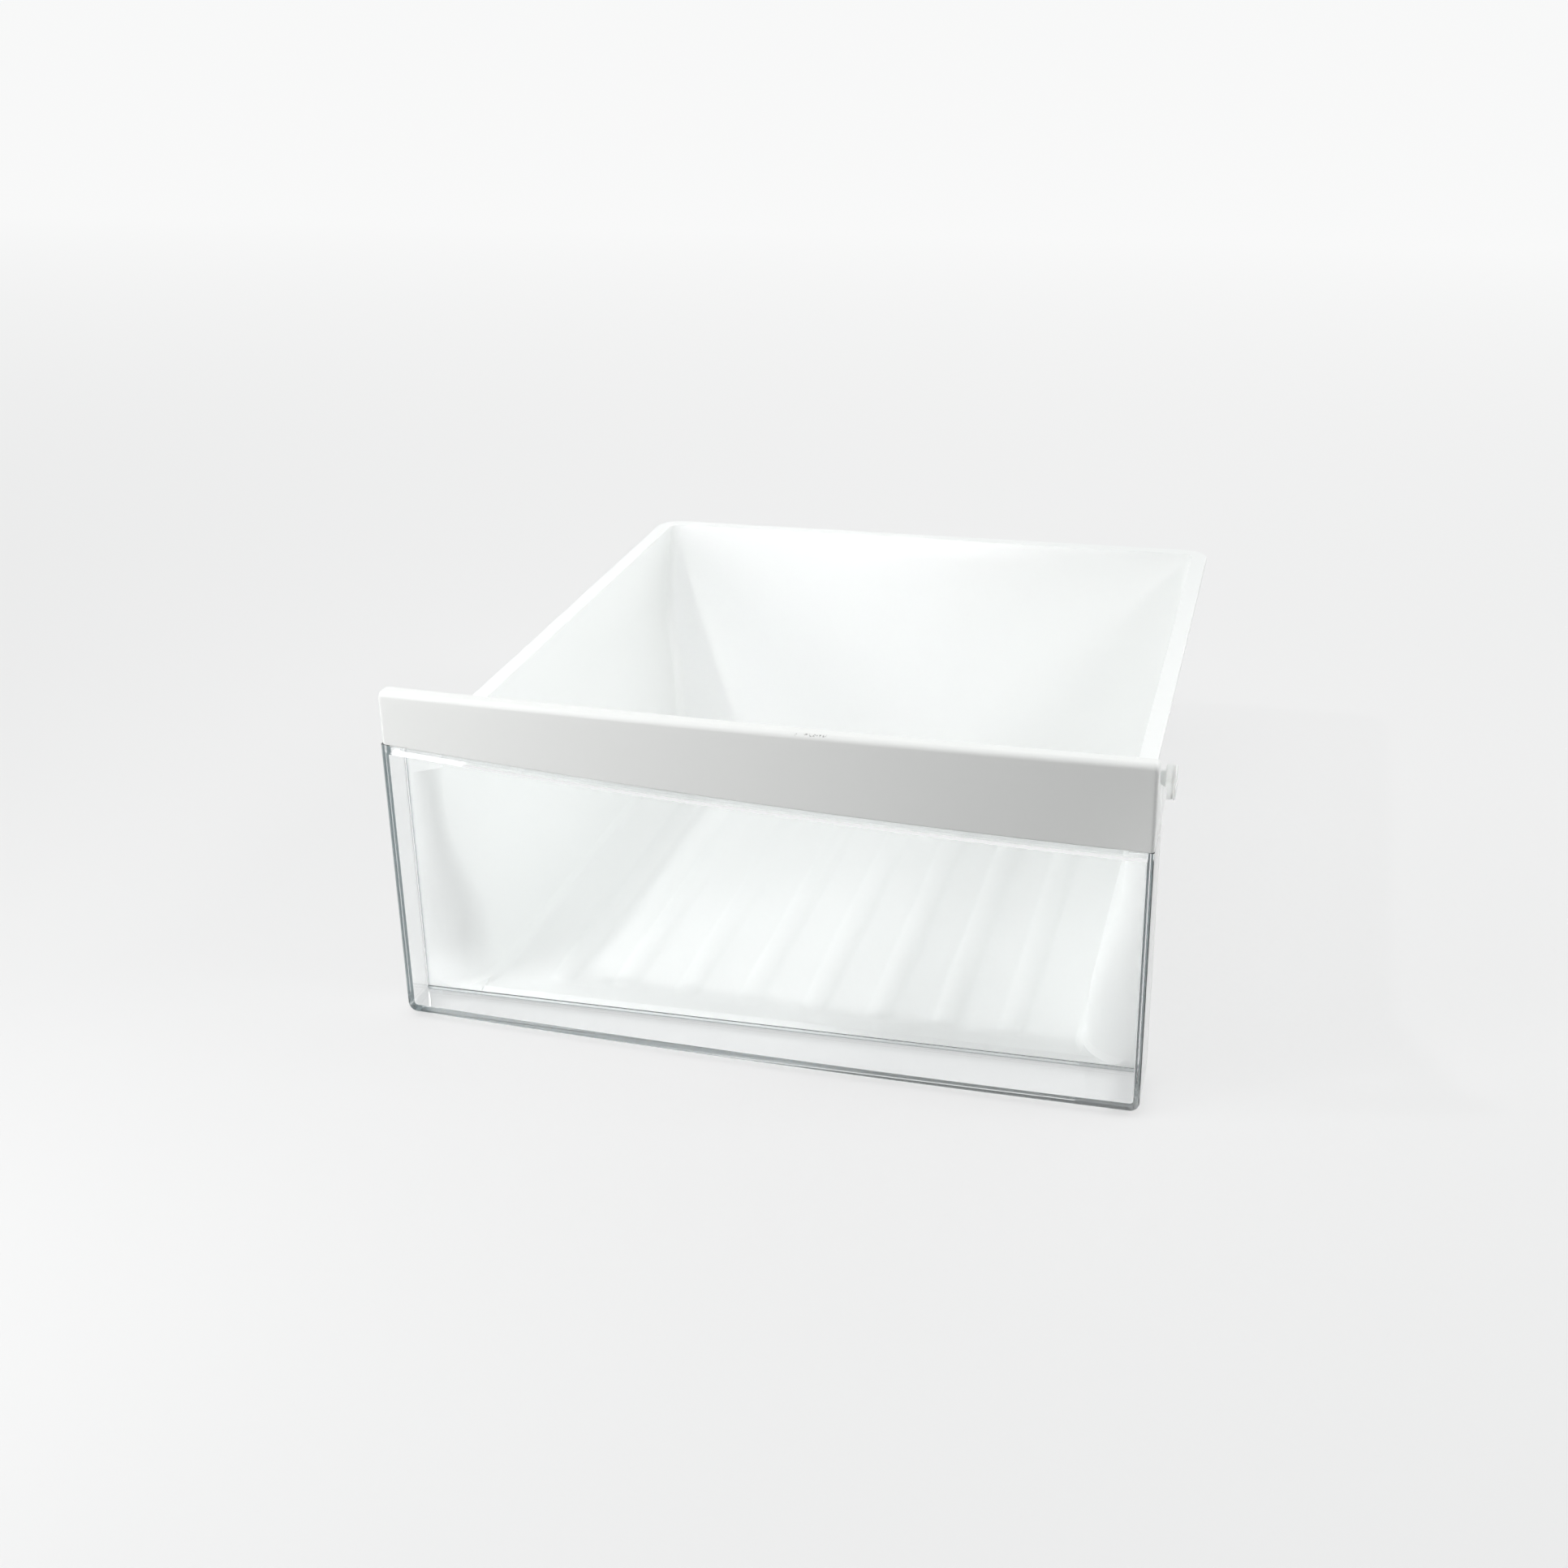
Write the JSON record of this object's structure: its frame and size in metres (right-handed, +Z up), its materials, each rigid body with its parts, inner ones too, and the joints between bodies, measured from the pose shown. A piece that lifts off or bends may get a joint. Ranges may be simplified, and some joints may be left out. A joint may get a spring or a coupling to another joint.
{
  "type": "fridge crisper drawer",
  "caption": "White fridge crisper drawer with a clear bowed front panel, a white trim bar and small side rollers",
  "frame": {"origin": "Middle of the drawer's outline, on the surface that its two skids stand on", "axes": "X to the drawer's right, Y from the front to the back, Z up"},
  "size_m": [0.4, 0.468, 0.192],
  "materials": {
    "white_tub": "fine satin moulded",
    "clear_front": "polished, clear",
    "white_trim": "satin moulded",
    "roller": "slick bearing plastic"
  },
  "bodies": {
    "drawer": {"drawer_tub": "white_tub", "clear_front": "clear_front", "front_trim": "white_trim"},
    "right_roller": {"right_roller": "roller"},
    "left_roller": {"left_roller": "roller"}
  },
  "joints": [
    {"name": "right_roller_spin", "type": "hinge", "parent": "drawer", "child": "right_roller", "pos_m": [0.197, -0.094, 0.1235], "axis": [1, 0, 0], "continuous": true},
    {"name": "left_roller_spin", "type": "hinge", "parent": "drawer", "child": "left_roller", "pos_m": [-0.197, -0.094, 0.1235], "axis": [1, 0, 0], "continuous": true}
  ]
}
